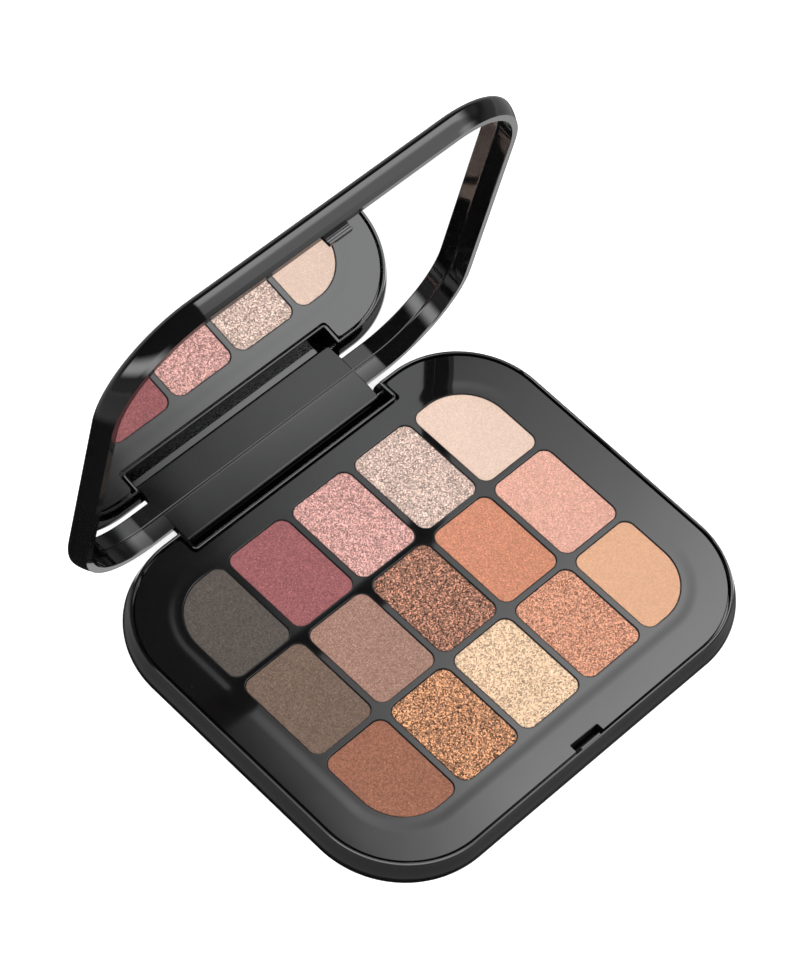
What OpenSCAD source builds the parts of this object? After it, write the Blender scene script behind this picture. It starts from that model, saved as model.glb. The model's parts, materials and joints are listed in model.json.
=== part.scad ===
// Eyeshadow palette: a hinged plastic compact with a mirror in the lid and a
// five by three grid of metal pans filled with pressed powder.
// Origin: centre of the underside. X runs along the hinge, Y towards the hinge, Z up.
// The lid is drawn standing open, turned about the hinge axis by open_angle.

/* [Pans] */
// Number of columns of pans, left to right
pan_cols = 5; // [3:1:5]
// Number of rows of pans, front to back
pan_rows = 3; // [2:1:3]
// Width of one well opening in the deck
well_w = 19.7; // [15:0.1:26]
// Depth of one well opening in the deck
well_d = 26.9; // [20:0.1:34]
// Bar of deck between two columns of wells
bar_x = 1.7; // [1:0.1:4]
// Bar of deck between two rows of wells
bar_y = 1.5; // [1:0.1:4]
// Corner radius of a well
well_r = 3; // [1:0.1:4]
// Large outer corner radius of the four corner wells
corner_well_r = 13.5; // [5:0.1:15]
// Gap between a pan and its well
pan_gap = 0.12; // [0.05:0.01:0.3]
// Sheet thickness of a pan
pan_sheet = 0.25; // [0.2:0.05:0.5]
// Height of a pan
pan_h = 3.3; // [2:0.1:5]
// Drop from the deck beside a well down to a pan's rim
pan_drop = 0.15; // [0.05:0.05:0.5]
// Drop from the deck beside a well down to the powder
powder_drop = 0.05; // [0:0.05:0.3]
// Thickness of the glue pad under a pan
glue_t = 0.25; // [0.1:0.05:0.4]
// Radius of the glue pad under a pan
glue_r = 5; // [3:0.5:7]

/* [Case] */
// Border from the wells to the case's left or right face
border_x = 12.45; // [11:0.05:18]
// Border from the wells to the case's front or back face
border_y = 12.85; // [12:0.05:18]
// Corner radius of the case outline
case_r = 25.5; // [16:0.5:27]
// Height of the base, underside to lip
base_h = 10.5; // [9.5:0.1:14]
// Depth of the lip's top above the deck beside the wells
lip_rise = 0.7; // [0.5:0.05:1]
// Wall of the base below the deck
base_wall = 1.8; // [1.6:0.1:2.4]
// Floor of the base
base_floor = 1.2; // [1:0.1:2]
// Thickness of the lip round the deck
lip_t = 0.65; // [0.5:0.05:0.8]
// Groove between the lip and the deck
groove_w = 0.85; // [0.5:0.05:1]
// Bulge of the sides of the base and lid beyond their meeting edges
side_bulge = 1.75; // [0:0.05:2.5]
// Height over which a side curves in from its widest line to its meeting edge
side_shoulder = 2.5; // [1.5:0.1:3]
// Inset of the flat outer face of the base and lid from the case outline
side_foot = 4; // [2.4:0.1:5]

/* [Deck] */
// Plate thickness of the deck at its edge
deck_t = 1.5; // [1.2:0.1:2]
// Depth of the shallow dish round the wells
dish_depth = 0.3; // [0.1:0.05:0.4]
// Flat margin of the dish outside the wells
dish_margin = 1; // [0.5:0.1:2]
// Width of the dish's slope
dish_slope = 3; // [1:0.1:4]
// Wall round the well block under the deck
well_wall = 1.2; // [1:0.1:2]
// Floor thickness of the wells
well_floor = 1; // [0.8:0.1:1.5]
// Radius of the support posts under the deck
post_r = 1.6; // [1:0.1:3]

/* [Lid] */
// Height of the lid, rim to outside
lid_h = 7.2; // [6.5:0.1:12]
// Side wall of the lid, and thickness of its hinge block
lid_wall = 2.2; // [2:0.1:3]
// Gap between the closed lid's rim and the base's lip
lid_gap = 0.2; // [0.1:0.05:0.5]
// Depth of the mirror's face behind the lid's rim
mirror_depth = 4.6; // [4:0.1:6]
// Thickness of the mirror glass
mirror_t = 1; // [0.8:0.1:1.2]
// Gap between the mirror's edge and the lid's wall
mirror_gap = 0.15; // [0.1:0.05:0.4]
// Thickness of the mirror's adhesive tape
tape_t = 0.15; // [0.1:0.05:0.3]
// Border of the mirror left bare by the tape
tape_border = 6; // [3:0.5:12]
// Angle of the lid from closed, as drawn
open_angle = 83.7; // [0:0.1:110]

/* [Hinge] */
// Radius of a hinge pin
pin_r = 0.5; // [0.4:0.05:0.6]
// Radial running clearance of a pin in the lid's block
pin_clear = 0.05; // [0.02:0.01:0.08]
// Length of a pin held in the base
pin_grip = 4.8; // [3:0.1:5]
// Length of a pin inside the lid's block
pin_reach = 6; // [4:0.1:10]
// Height of the hinge axis above the underside
hinge_z = 6.4; // [5.5:0.1:7]
// Straight back edge on each side of the hinge notch
shoulder = 5.4; // [5.2:0.1:10]
// Depth of the hinge notch from the back face
notch_d = 5.65; // [4.5:0.05:7]
// Gap at each end of the lid's block
block_gap = 1.25; // [0.4:0.05:2]
// Room under the hinge barrel
barrel_room = 1.4; // [0.8:0.1:2]

/* [Latch] */
// Width of the latch tab on the lid
tab_w = 7.3; // [5:0.1:12]
// Thickness of the latch tab
tab_t = 1.3; // [1:0.1:2]
// Reach of the latch tab past the lid's rim
tab_reach = 2.2; // [1.5:0.1:2.6]
// Clearance round the latch tab in its slot
tab_gap = 0.35; // [0.3:0.05:1]
// Room under the latch tab
tab_floor_gap = 0.8; // [0.4:0.1:1.5]
// Height of the plain part of the tab next to the rim
tab_lip_h = 0.8; // [0.5:0.1:1.2]
// Clearance at each end of the latch tab
tab_end_gap = 1.05; // [0.5:0.05:2]
// Height of the catch ridge in the slot
catch_h = 0.35; // [0.2:0.05:0.5]
// Width of the catch ridge
catch_w = 6.5; // [4:0.1:9]
// Thickness of the catch ridge
catch_t = 0.5; // [0.4:0.1:0.8]
// Wall left in front of the slot
slot_wall = 1.1; // [0.8:0.05:1.4]
// Clearance between the catch ridge and the tab
catch_gap = 0.3; // [0.3:0.05:0.6]

/* [Lid corner ribs] */
// Length of the rib across an inner corner of the lid
rib_l = 8; // [4:0.5:12]
// Height of the rib above the mirror
rib_h = 1.2; // [0.6:0.1:2]
// Gap between a rib and the mirror's face
rib_gap = 0.1; // [0.05:0.05:0.5]

/* [Hidden] */
SHADES = [
    "brick", "copper", "champagne", "rose", "peach",
    "olive", "rosewood", "bronze", "coral", "pink",
    "charcoal", "mauve", "petal", "silver", "cream"
];
SHADE_COLORS = [
    "#a26f5c", "#c48c69", "#e9c7a5", "#d6977c", "#e9b594",
    "#7b695c", "#aa8678", "#9f705c", "#d99478", "#ecb5a4",
    "#625a56", "#a76b6d", "#d5a59d", "#d2b8a9", "#f0d2c2"
];

$fn = 64;
eps = 0.01;
cut = 5;

// Plan sizes, all built up from the wells
pitch_x = well_w + bar_x;
pitch_y = well_d + bar_y;
field_w = pan_cols * pitch_x - bar_x;
field_d = pan_rows * pitch_y - bar_y;
case_w = field_w + 2 * border_x;
case_d = field_d + 2 * border_y;
back_y = case_d / 2;
front_y = -case_d / 2;
big_r = min(corner_well_r, well_w - well_r, well_d - well_r);

// Heights
deck_z = base_h - lip_rise;
deck_top = deck_z + dish_depth;
ledge_z = deck_top - deck_t;
pan_rim_z = deck_z - pan_drop;
powder_z = deck_z - powder_drop;
pan_z = pan_rim_z - pan_h;
well_z = pan_z - glue_t;
tray_z = well_z - well_floor;
rim_z = base_h + lid_gap;
mirror_z = rim_z + mirror_depth;
tape_z = mirror_z + mirror_t;
lid_roof_z = tape_z + tape_t;

// Hinge: the end of the lid's block is a half-round barrel on the axis
barrel_r = lid_wall / 2;
hinge_y = back_y - barrel_r;
notch_w = case_w - 2 * case_r - 2 * shoulder;
notch_y = back_y - notch_d;
notch_z = hinge_z - barrel_r - barrel_room;
block_w = notch_w - 2 * block_gap;
pin_len = pin_grip + block_gap + pin_reach;
deck_inset = lip_t + groove_w;

// Latch: slot wall, catch ridge, clearance, tab, clearance, deck
tab_front = front_y + slot_wall + catch_h + catch_gap;
slot_back = tab_front + tab_t + tab_gap;
slot_w = tab_w + 2 * tab_end_gap;
slot_z = rim_z - tab_reach - tab_floor_gap;
catch_z = rim_z - tab_lip_h - catch_t - 0.1;
inner_r = case_r - lid_wall;
cavity_in = base_wall + side_foot * 0.3;

// Rectangle with round corners
module round_rect(w, d, r) {
    square([w, d - 2 * r], center = true);
    square([w - 2 * r, d], center = true);
    for (sx = [-1, 1]) for (sy = [-1, 1])
        translate([sx * (w / 2 - r), sy * (d / 2 - r)]) circle(r);
}

// The case outline moved inwards by one distance all round
module outline(inset) {
    round_rect(case_w - 2 * inset, case_d - 2 * inset, case_r - inset);
}

// The notch in the back edge, grown by one distance on three sides
module notch_plan(grow) {
    translate([-notch_w / 2 - grow, notch_y - grow])
        square([notch_w + 2 * grow, notch_d + grow + cut]);
}

// Points up a bulging side, from its flat outer face to its meeting edge: [inset, height]
function side_edge(h) = concat(
    [for (i = [0:7]) [side_foot - (side_bulge + side_foot) * sin(90 * i / 7),
                      (h - side_shoulder) * (1 - cos(90 * i / 7))]],
    [for (i = [1:4]) [-side_bulge * cos(90 * i / 4), h - side_shoulder + side_shoulder * sin(90 * i / 4)]]);
function turned_over(edge, h) = [for (i = [len(edge) - 1:-1:0]) [edge[i][0], h - edge[i][1]]];

// A slab with round corners in plan whose edge follows a list of [inset, height]
module edged_slab(w, d, r, edge) {
    top = edge[len(edge) - 1][1];
    right = [for (p = edge) [w / 2 - p[0], p[1]]];
    left = [for (i = [len(edge) - 1:-1:0]) [edge[i][0] - w / 2, edge[i][1]]];
    back = [for (p = edge) [d / 2 - p[0], p[1]]];
    front = [for (i = [len(edge) - 1:-1:0]) [edge[i][0] - d / 2, edge[i][1]]];
    translate([0, d / 2 - r, 0]) rotate([90, 0, 0])
        linear_extrude(d - 2 * r) polygon(concat(right, left));
    translate([r - w / 2, 0, 0]) rotate([90, 0, 90])
        linear_extrude(w - 2 * r) polygon(concat(back, front));
    for (k = [0:3]) {
        sx = (k == 0 || k == 3) ? 1 : -1;
        sy = (k < 2) ? 1 : -1;
        translate([sx * (w / 2 - r), sy * (d / 2 - r), 0]) rotate([0, 0, 90 * k])
            rotate_extrude(angle = 90) polygon(concat(
                [[0, edge[0][1]]],
                [for (p = edge) [r - p[0], p[1]]],
                [[0, top]]));
    }
}

// Outline of one well, moved inwards; a corner well has one large corner
function col_of(i) = i % 5;
function row_of(i) = floor(i / 5);
function well_x(c) = (c - (pan_cols - 1) / 2) * pitch_x;
function well_y(r) = (r - (pan_rows - 1) / 2) * pitch_y;
function corner_r(c, r, sx, sy) =
    (c == (sx > 0 ? pan_cols - 1 : 0) && r == (sy > 0 ? pan_rows - 1 : 0)) ? big_r : well_r;

module well_plan(c, r, inset) {
    w = well_w - 2 * inset;
    d = well_d - 2 * inset;
    translate([well_x(c), well_y(r)]) difference() {
        square([w, d], center = true);
        for (sx = [-1, 1]) for (sy = [-1, 1]) {
            k = corner_r(c, r, sx, sy) - inset;
            translate([sx * (w / 2 - k), sy * (d / 2 - k)]) difference() {
                translate([sx * (k + eps) / 2, sy * (k + eps) / 2])
                    square(k + eps, center = true);
                circle(k);
            }
        }
    }
}

module place_wells() {
    for (c = [0:pan_cols - 1]) for (r = [0:pan_rows - 1]) {
        $c = c;
        $r = r;
        children();
    }
}

// Hinge axis helpers
module along_hinge(x0, x1, r) {
    translate([x0, hinge_y, hinge_z]) rotate([0, 90, 0]) cylinder(r = r, h = x1 - x0);
}
module opened() {
    translate([0, hinge_y, hinge_z]) rotate([-open_angle, 0, 0])
        translate([0, -hinge_y, -hinge_z]) children();
}

// Hollow of the base, which leaves walls round the notch and slot and bosses for the pins
module cavity_plan() {
    difference() {
        outline(cavity_in);
        notch_plan(base_wall);
        for (s = [-1, 1])
            translate([s * (notch_w / 2 + shoulder / 2), back_y - notch_d / 2])
                square([shoulder, notch_d], center = true);
        translate([-slot_w / 2 - base_wall, front_y])
            square([slot_w + 2 * base_wall, slot_back + base_wall - front_y]);
    }
}

// Lower case: floor, support posts, wall with a ledge and lip, hinge notch and latch slot
module base_shell() {
    color("#1b1b1d") difference() {
        edged_slab(case_w, case_d, case_r, side_edge(base_h));
        translate([0, 0, base_floor]) linear_extrude(tray_z - base_floor) difference() {
            cavity_plan();
            for (c = [0.5:1:pan_cols - 1.5]) for (r = [0.5:1:pan_rows - 1.5])
                translate([well_x(c), well_y(r)]) circle(post_r);
        }
        translate([0, 0, tray_z - eps]) linear_extrude(ledge_z - tray_z + eps) cavity_plan();
        translate([0, 0, ledge_z]) linear_extrude(cut) difference() {
            outline(lip_t);
            notch_plan(lip_t);
        }
        translate([0, 0, notch_z]) linear_extrude(base_h) notch_plan(0);
        translate([-slot_w / 2, front_y + slot_wall, slot_z])
            cube([slot_w, slot_back - front_y - slot_wall, base_h]);
        for (s = [-1, 1])
            along_hinge(s > 0 ? notch_w / 2 - eps : -notch_w / 2 - pin_grip,
                        s > 0 ? notch_w / 2 + pin_grip : eps - notch_w / 2, pin_r);
    }
    color("#1b1b1d") translate([-catch_w / 2, front_y + lip_t - eps, catch_z])
        cube([catch_w, slot_wall + catch_h - lip_t + eps, catch_t]);
}

// Deck: plate with a shallow dish, and the block of wells under it
module deck_tray() {
    color("#2a2a2c") difference() {
        union() {
            translate([0, 0, ledge_z]) linear_extrude(deck_t) difference() {
                outline(deck_inset);
                notch_plan(deck_inset);
            }
            translate([0, 0, tray_z]) linear_extrude(ledge_z - tray_z + eps)
                round_rect(field_w + 2 * well_wall, field_d + 2 * well_wall, big_r + well_wall);
        }
        translate([0, 0, deck_z])
            edged_slab(field_w + 2 * dish_margin + 2 * dish_slope,
                       field_d + 2 * dish_margin + 2 * dish_slope,
                       big_r + dish_margin + dish_slope,
                       [[dish_slope, 0], [0, dish_depth], [0, dish_depth + cut]]);
        translate([0, 0, well_z]) linear_extrude(deck_t + pan_h + cut)
            place_wells() well_plan($c, $r, 0);
        translate([-slot_w / 2, front_y, slot_z])
            cube([slot_w, slot_back - front_y, base_h]);
    }
}

// Round glue pads that hold the pans
module pan_glue() {
    color("#e8e2cf") place_wells()
        translate([well_x($c), well_y($r), well_z]) cylinder(r = glue_r, h = glue_t);
}

// Pressed sheet-metal pan
module pan(c, r) {
    color("#c9cacc") difference() {
        translate([0, 0, pan_z]) linear_extrude(pan_h) well_plan(c, r, pan_gap);
        translate([0, 0, pan_z + pan_sheet]) linear_extrude(pan_h)
            well_plan(c, r, pan_gap + pan_sheet);
    }
}

// Pressed powder that fills a pan
module powder(c, r, shade) {
    color(shade) translate([0, 0, pan_z + pan_sheet])
        linear_extrude(powder_z - pan_z - pan_sheet)
            well_plan(c, r, pan_gap + pan_sheet);
}

// Steel hinge pin, pressed into the base and turning in the lid's block
module hinge_pin(s) {
    color("#b9bcc0") along_hinge(
        s > 0 ? block_w / 2 - pin_reach : -notch_w / 2 - pin_grip,
        s > 0 ? notch_w / 2 + pin_grip : pin_reach - block_w / 2, pin_r);
}

// Lid with its wall, hinge block and latch tab
module lid_shell() {
    color("#1b1b1d") opened() difference() {
        union() {
            difference() {
                translate([0, 0, rim_z])
                    edged_slab(case_w, case_d, case_r, turned_over(side_edge(lid_h), lid_h));
                translate([0, 0, rim_z - eps])
                    linear_extrude(lid_roof_z - rim_z + eps) outline(lid_wall);
            }
            translate([-block_w / 2, back_y - lid_wall, hinge_z])
                cube([block_w, lid_wall, rim_z - hinge_z + eps]);
            along_hinge(-block_w / 2, block_w / 2, barrel_r);
            latch_tab();
            for (s = [-1, 1]) corner_rib(s);
        }
        for (s = [-1, 1])
            along_hinge(s > 0 ? block_w / 2 - pin_reach - 0.3 : -block_w / 2 - eps,
                        s > 0 ? block_w / 2 + eps : pin_reach + 0.3 - block_w / 2,
                        pin_r + pin_clear);
    }
}

// Tab with a raised frame that drops into the slot at the front of the deck
module latch_tab() {
    difference() {
        translate([-tab_w / 2, tab_front, rim_z - tab_reach])
            cube([tab_w, tab_t, tab_reach + mirror_depth - 0.3]);
        translate([-tab_w / 2 + 0.9, tab_front + tab_t - 0.4, rim_z - tab_reach + 0.9])
            cube([tab_w - 1.8, 1, tab_reach + 0.9]);
        translate([-tab_w / 2 - 1, tab_front - 1, rim_z - tab_lip_h - catch_t - 0.2])
            cube([tab_w + 2, 1.3, catch_t + 0.2]);
    }
}

// Rib across one inner corner of the lid, over the mirror's edge:
// at the front right for 1 and at the back left for -1
module corner_rib(s) {
    translate([0, 0, mirror_z - rib_gap - rib_h]) linear_extrude(rib_h) intersection() {
        outline(lid_wall - eps);
        translate([s * (case_w / 2 - case_r), -s * (case_d / 2 - case_r)])
            rotate([0, 0, -45 * s + (s < 0 ? 90 : 0)])
                translate([inner_r - 0.9, -rib_l / 2]) square([cut, rib_l]);
    }
}

// Mirror fixed in the lid with double-sided tape
module mirror_glass() {
    color("#dfe6ea") opened() translate([0, 0, mirror_z]) linear_extrude(mirror_t)
        outline(lid_wall + mirror_gap);
}
module mirror_tape() {
    color("#f2f2ee") opened() translate([0, 0, tape_z]) linear_extrude(tape_t)
        outline(lid_wall + mirror_gap + tape_border);
}

base_shell();
deck_tray();
pan_glue();
for (i = [0:14]) if (col_of(i) < pan_cols && row_of(i) < pan_rows) {
    pan(col_of(i), row_of(i));
    powder(col_of(i), row_of(i), SHADE_COLORS[i]);
}
hinge_pin(-1);  // hinge_pin_left
hinge_pin(1);  // hinge_pin_right
lid_shell();
mirror_tape();
mirror_glass();
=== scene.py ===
import json
import math

import bmesh
import bpy
from mathutils import Matrix, Quaternion, Vector


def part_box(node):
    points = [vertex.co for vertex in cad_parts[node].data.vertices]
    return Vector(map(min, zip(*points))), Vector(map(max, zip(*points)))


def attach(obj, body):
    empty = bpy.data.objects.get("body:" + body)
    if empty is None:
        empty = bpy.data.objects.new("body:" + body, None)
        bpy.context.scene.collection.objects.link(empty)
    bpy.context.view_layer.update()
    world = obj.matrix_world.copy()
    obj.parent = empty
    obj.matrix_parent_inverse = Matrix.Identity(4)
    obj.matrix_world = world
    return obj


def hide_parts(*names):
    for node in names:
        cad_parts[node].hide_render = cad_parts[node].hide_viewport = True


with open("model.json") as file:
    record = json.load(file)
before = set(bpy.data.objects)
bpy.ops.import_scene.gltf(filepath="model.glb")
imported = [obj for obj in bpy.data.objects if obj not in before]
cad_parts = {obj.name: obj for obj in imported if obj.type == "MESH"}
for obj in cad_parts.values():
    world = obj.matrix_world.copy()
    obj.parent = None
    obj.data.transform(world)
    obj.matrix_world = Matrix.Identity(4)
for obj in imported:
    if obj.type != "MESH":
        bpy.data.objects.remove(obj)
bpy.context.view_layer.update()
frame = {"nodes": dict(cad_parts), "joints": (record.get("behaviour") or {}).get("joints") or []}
print("frame loaded:", len(frame["nodes"]), "nodes")

mm = 0.001
tiny = 1e-5  # mm; shorter than this is nothing
hinge = frame["joints"][0]
hingeAt = Vector(hinge["pos_m"])
openAngle = -hinge["range_deg"][0]  # the lid stands open by this many degrees

meshing = {
    "weld": 2e-6,          # points closer than this become one, in metres
    "sliver": 1e-6,        # edges shorter than this go, in metres
    "sharpDegrees": 38,    # edges that turn more than this stay crisp
    "levelFrom": 0.99999,  # a face is level when its normal points this much up or down
    "normalWeight": 80,    # how far the large faces lead the shading round them
    "easeFacets": 3,       # facets across an eased edge
}


# an sRGB colour as the linear one that shaders take, brightened or darkened by the factor
def linear(hexColour, factor=1.0):
    channels = [int(hexColour[i:i + 2], 16) / 255 for i in (1, 3, 5)]
    return [factor * (c / 12.92 if c <= 0.04045 else ((c + 0.055) / 1.055) ** 2.4) for c in channels] + [1.0]


def perMm(size):
    return 1 / (size * mm)  # texture scale for a pattern that repeats every so many mm


def startFinish(name):
    finish = bpy.data.materials.new(name)
    finish.use_nodes = True
    finish.node_tree.nodes.clear()
    return finish, finish.node_tree


def addNode(tree, kind, values=None, links=None, **settings):
    made = tree.nodes.new(kind)
    for name, value in settings.items():
        setattr(made, name, value)
    for name, value in (values or {}).items():
        made.inputs[name].default_value = value
    for name, (source, output) in (links or {}).items():
        tree.links.new(source.outputs[output], made.inputs[name])
    return made


# a closed outline with every corner rounded: corners are (x, y, radius, steps)
def roundedPath(corners):
    points = []
    for i, (x, y, radius, steps) in enumerate(corners):
        here = Vector((x, y))
        before = Vector(corners[i - 1][:2]) - here
        after = Vector(corners[(i + 1) % len(corners)][:2]) - here
        if min(radius, before.length, after.length) < tiny:
            points += [here.copy() for _ in range(steps + 1)]
            continue
        before.normalize()
        after.normalize()
        half = before.angle(after) / 2
        centre = here + (before + after).normalized() * (radius / math.sin(half))
        start = here + before * (radius / math.tan(half)) - centre
        end = here + after * (radius / math.tan(half)) - centre
        first = math.atan2(start.y, start.x)
        turn = (math.atan2(end.y, end.x) - first + math.pi) % (2 * math.pi) - math.pi
        for k in range(steps + 1):
            angle = first + turn * k / steps
            points.append(centre + Vector((math.cos(angle), math.sin(angle))) * radius)
    return points


# quarter round from 0 to 1: how far in and how far up at each step
def quarter(steps):
    angles = [math.pi / 2 * k / steps for k in range(steps + 1)]
    return [(1 - math.cos(a), math.sin(a)) for a in angles]


def atHeight(path, height):
    return [Vector((p.x, p.y, height)) for p in path]


# a surface through rings of points in mm, which all have the same number of points
def skin(bm, rings, capFirst=False, capLast=False):
    loops = [[bm.verts.new(p * mm) for p in ring] for ring in rings]
    for low, high in zip(loops, loops[1:]):
        for i in range(len(low)):
            j = (i + 1) % len(low)
            bm.faces.new((low[i], low[j], high[j], high[i]))
    if capFirst:
        bm.faces.new(loops[0][::-1])
    if capLast:
        bm.faces.new(loops[-1])
    return loops


# flat plate between an outer loop and the holes in it
def fillPlate(bm, loops):
    edges = []
    for loop in loops:
        for a, b in zip(loop, loop[1:] + loop[:1]):
            edges.append(bm.edges.get((a, b)) or bm.edges.new((a, b)))
    bmesh.ops.triangle_fill(bm, use_beauty=True, edges=edges, normal=(0, 0, 1))


# cleans a mesh up, shades it and hangs it on its body in place of the CAD node
def finishPiece(bm, name, body, nodeName, finishes, place=None, flatTop=False):
    bmesh.ops.remove_doubles(bm, verts=bm.verts, dist=meshing["weld"])
    bmesh.ops.dissolve_degenerate(bm, edges=bm.edges, dist=meshing["sliver"])
    bmesh.ops.recalc_face_normals(bm, faces=bm.faces)
    if place is not None:
        bmesh.ops.transform(bm, matrix=place, verts=bm.verts)
    mesh = bpy.data.meshes.new(name)
    bm.to_mesh(mesh)
    bm.free()
    mesh.shade_smooth()
    mesh.set_sharp_from_angle(angle=math.radians(meshing["sharpDegrees"]))
    if flatTop:  # level faces stay level right up to their rounded edges
        for face in mesh.polygons:
            face.use_smooth = abs(face.normal.z) < meshing["levelFrom"]
    for finish in finishes:
        mesh.materials.append(finish)
    piece = bpy.data.objects.new(name, mesh)
    bpy.context.scene.collection.objects.link(piece)
    if not flatTop:
        weighted = piece.modifiers.new("weightedNormals", "WEIGHTED_NORMAL")
        weighted.keep_sharp = True
        weighted.weight = meshing["normalWeight"]
    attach(piece, body)
    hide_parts(nodeName)


# ABS, injection moulded in a polished tool: a deep black that mirrors the lights,
# with the slow waviness of moulded plastic and a little dust
def polishedAbs(name, colours, waviness):
    finish, tree = startFinish(name)
    coords = addNode(tree, "ShaderNodeTexCoord")
    tone = addNode(tree, "ShaderNodeTexNoise", {"Scale": perMm(9), "Detail": 3},
                   {"Vector": (coords, "Object")})
    plastic = addNode(tree, "ShaderNodeMix", {"A": linear(colours[0]), "B": linear(colours[1])},
                      {"Factor": (tone, "Fac")}, data_type="RGBA")
    # dust specks are about 0.2 mm across, one every few mm
    dust = addNode(tree, "ShaderNodeTexVoronoi", {"Scale": perMm(5)}, {"Vector": (coords, "Object")})
    speck = addNode(tree, "ShaderNodeMapRange",
                    {"From Min": 0.02, "From Max": 0.035, "To Min": 0.12, "To Max": 0},
                    {"Value": (dust, "Distance")})
    dusty = addNode(tree, "ShaderNodeMix", {"B": linear("#8c8b88")},
                    {"Factor": (speck, "Result"), "A": (plastic, "Result")}, data_type="RGBA")
    haze = addNode(tree, "ShaderNodeTexNoise", {"Scale": perMm(17), "Detail": 4},
                   {"Vector": (coords, "Object")})
    gloss = addNode(tree, "ShaderNodeMapRange",
                    {"From Min": 0.3, "From Max": 0.7, "To Min": 0.04, "To Max": 0.075},
                    {"Value": (haze, "Fac")})
    wave = addNode(tree, "ShaderNodeTexNoise", {"Scale": perMm(14), "Detail": 1},
                   {"Vector": (coords, "Object")})
    bump = addNode(tree, "ShaderNodeBump", {"Strength": 1, "Distance": waviness * mm},
                   {"Height": (wave, "Fac")})
    shader = addNode(tree, "ShaderNodeBsdfPrincipled", {"IOR": 1.53},
                     {"Base Color": (dusty, "Result"), "Roughness": (gloss, "Result"),
                      "Normal": (bump, "Normal")})
    addNode(tree, "ShaderNodeOutputMaterial", links={"Surface": (shader, "BSDF")})
    return finish


# rolled sheet or drawn wire: fine lines one way from the rolls or the die, and small changes in shine
def drawnMetal(name, colours, roughness, lineMm, along):
    finish, tree = startFinish(name)
    coords = addNode(tree, "ShaderNodeTexCoord")
    stretch = addNode(tree, "ShaderNodeMapping", {"Scale": along}, {"Vector": (coords, "Object")})
    lines = addNode(tree, "ShaderNodeTexNoise", {"Scale": perMm(lineMm), "Detail": 3},
                    {"Vector": (stretch, "Vector")})
    metal = addNode(tree, "ShaderNodeMix", {"A": linear(colours[0]), "B": linear(colours[1])},
                    {"Factor": (lines, "Fac")}, data_type="RGBA")
    shine = addNode(tree, "ShaderNodeMapRange", {"From Min": 0.3, "From Max": 0.7, "To Min": roughness * 0.75,
                    "To Max": roughness * 1.3}, {"Value": (lines, "Fac")})
    bump = addNode(tree, "ShaderNodeBump", {"Strength": 0.4, "Distance": 0.004 * mm},
                   {"Height": (lines, "Fac")})
    shader = addNode(tree, "ShaderNodeBsdfPrincipled", {"Metallic": 1},
                     {"Base Color": (metal, "Result"), "Roughness": (shine, "Result"),
                      "Normal": (bump, "Normal")})
    addNode(tree, "ShaderNodeOutputMaterial", links={"Surface": (shader, "BSDF")})
    return finish


# silvered float glass: a clean, neutral reflection, with wipe marks that only just show
def silveredGlass():
    finish, tree = startFinish("silveredFloatGlass")
    coords = addNode(tree, "ShaderNodeTexCoord")
    wipe = addNode(tree, "ShaderNodeTexNoise", {"Scale": perMm(30), "Detail": 5, "Distortion": 1.5},
                   {"Vector": (coords, "Object")})
    silver = addNode(tree, "ShaderNodeMix", {"A": linear("#f6f7f7"), "B": linear("#f1f2f2")},
                     {"Factor": (wipe, "Fac")}, data_type="RGBA")
    haze = addNode(tree, "ShaderNodeMapRange",
                   {"From Min": 0.45, "From Max": 0.8, "To Min": 0.004, "To Max": 0.018},
                   {"Value": (wipe, "Fac")})
    shader = addNode(tree, "ShaderNodeBsdfPrincipled", {"Metallic": 1},
                     {"Base Color": (silver, "Result"), "Roughness": (haze, "Result")})
    addNode(tree, "ShaderNodeOutputMaterial", links={"Surface": (shader, "BSDF")})
    return finish


# cut and ground glass edge: greenish, with grinding marks about 0.1 mm apart
def groundGlassEdge():
    finish, tree = startFinish("groundGlassEdge")
    coords = addNode(tree, "ShaderNodeTexCoord")
    grit = addNode(tree, "ShaderNodeTexNoise", {"Scale": perMm(0.25), "Detail": 2},
                   {"Vector": (coords, "Object")})
    tint = addNode(tree, "ShaderNodeMix", {"A": linear("#d3dbd7"), "B": linear("#f0f3f1")},
                   {"Factor": (grit, "Fac")}, data_type="RGBA")
    bump = addNode(tree, "ShaderNodeBump", {"Strength": 0.5, "Distance": 0.01 * mm},
                   {"Height": (grit, "Fac")})
    shader = addNode(tree, "ShaderNodeBsdfPrincipled", {"IOR": 1.52, "Roughness": 0.3},
                     {"Base Color": (tint, "Result"), "Normal": (bump, "Normal")})
    addNode(tree, "ShaderNodeOutputMaterial", links={"Surface": (shader, "BSDF")})
    return finish


# hot-melt glue: milky and waxy, with a soft skin
def hotMeltGlue():
    finish, tree = startFinish("hotMeltGlue")
    coords = addNode(tree, "ShaderNodeTexCoord")
    cloud = addNode(tree, "ShaderNodeTexNoise", {"Scale": perMm(2.5), "Detail": 3},
                    {"Vector": (coords, "Object")})
    milk = addNode(tree, "ShaderNodeMix", {"A": linear("#d9d0b4"), "B": linear("#efe9d8")},
                   {"Factor": (cloud, "Fac")}, data_type="RGBA")
    bump = addNode(tree, "ShaderNodeBump", {"Strength": 0.5, "Distance": 0.05 * mm},
                   {"Height": (cloud, "Fac")})
    shader = addNode(tree, "ShaderNodeBsdfPrincipled",
                     {"IOR": 1.48, "Roughness": 0.4, "Subsurface Weight": 0.15},
                     {"Base Color": (milk, "Result"), "Normal": (bump, "Normal")})
    addNode(tree, "ShaderNodeOutputMaterial", links={"Surface": (shader, "BSDF")})
    return finish


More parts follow.
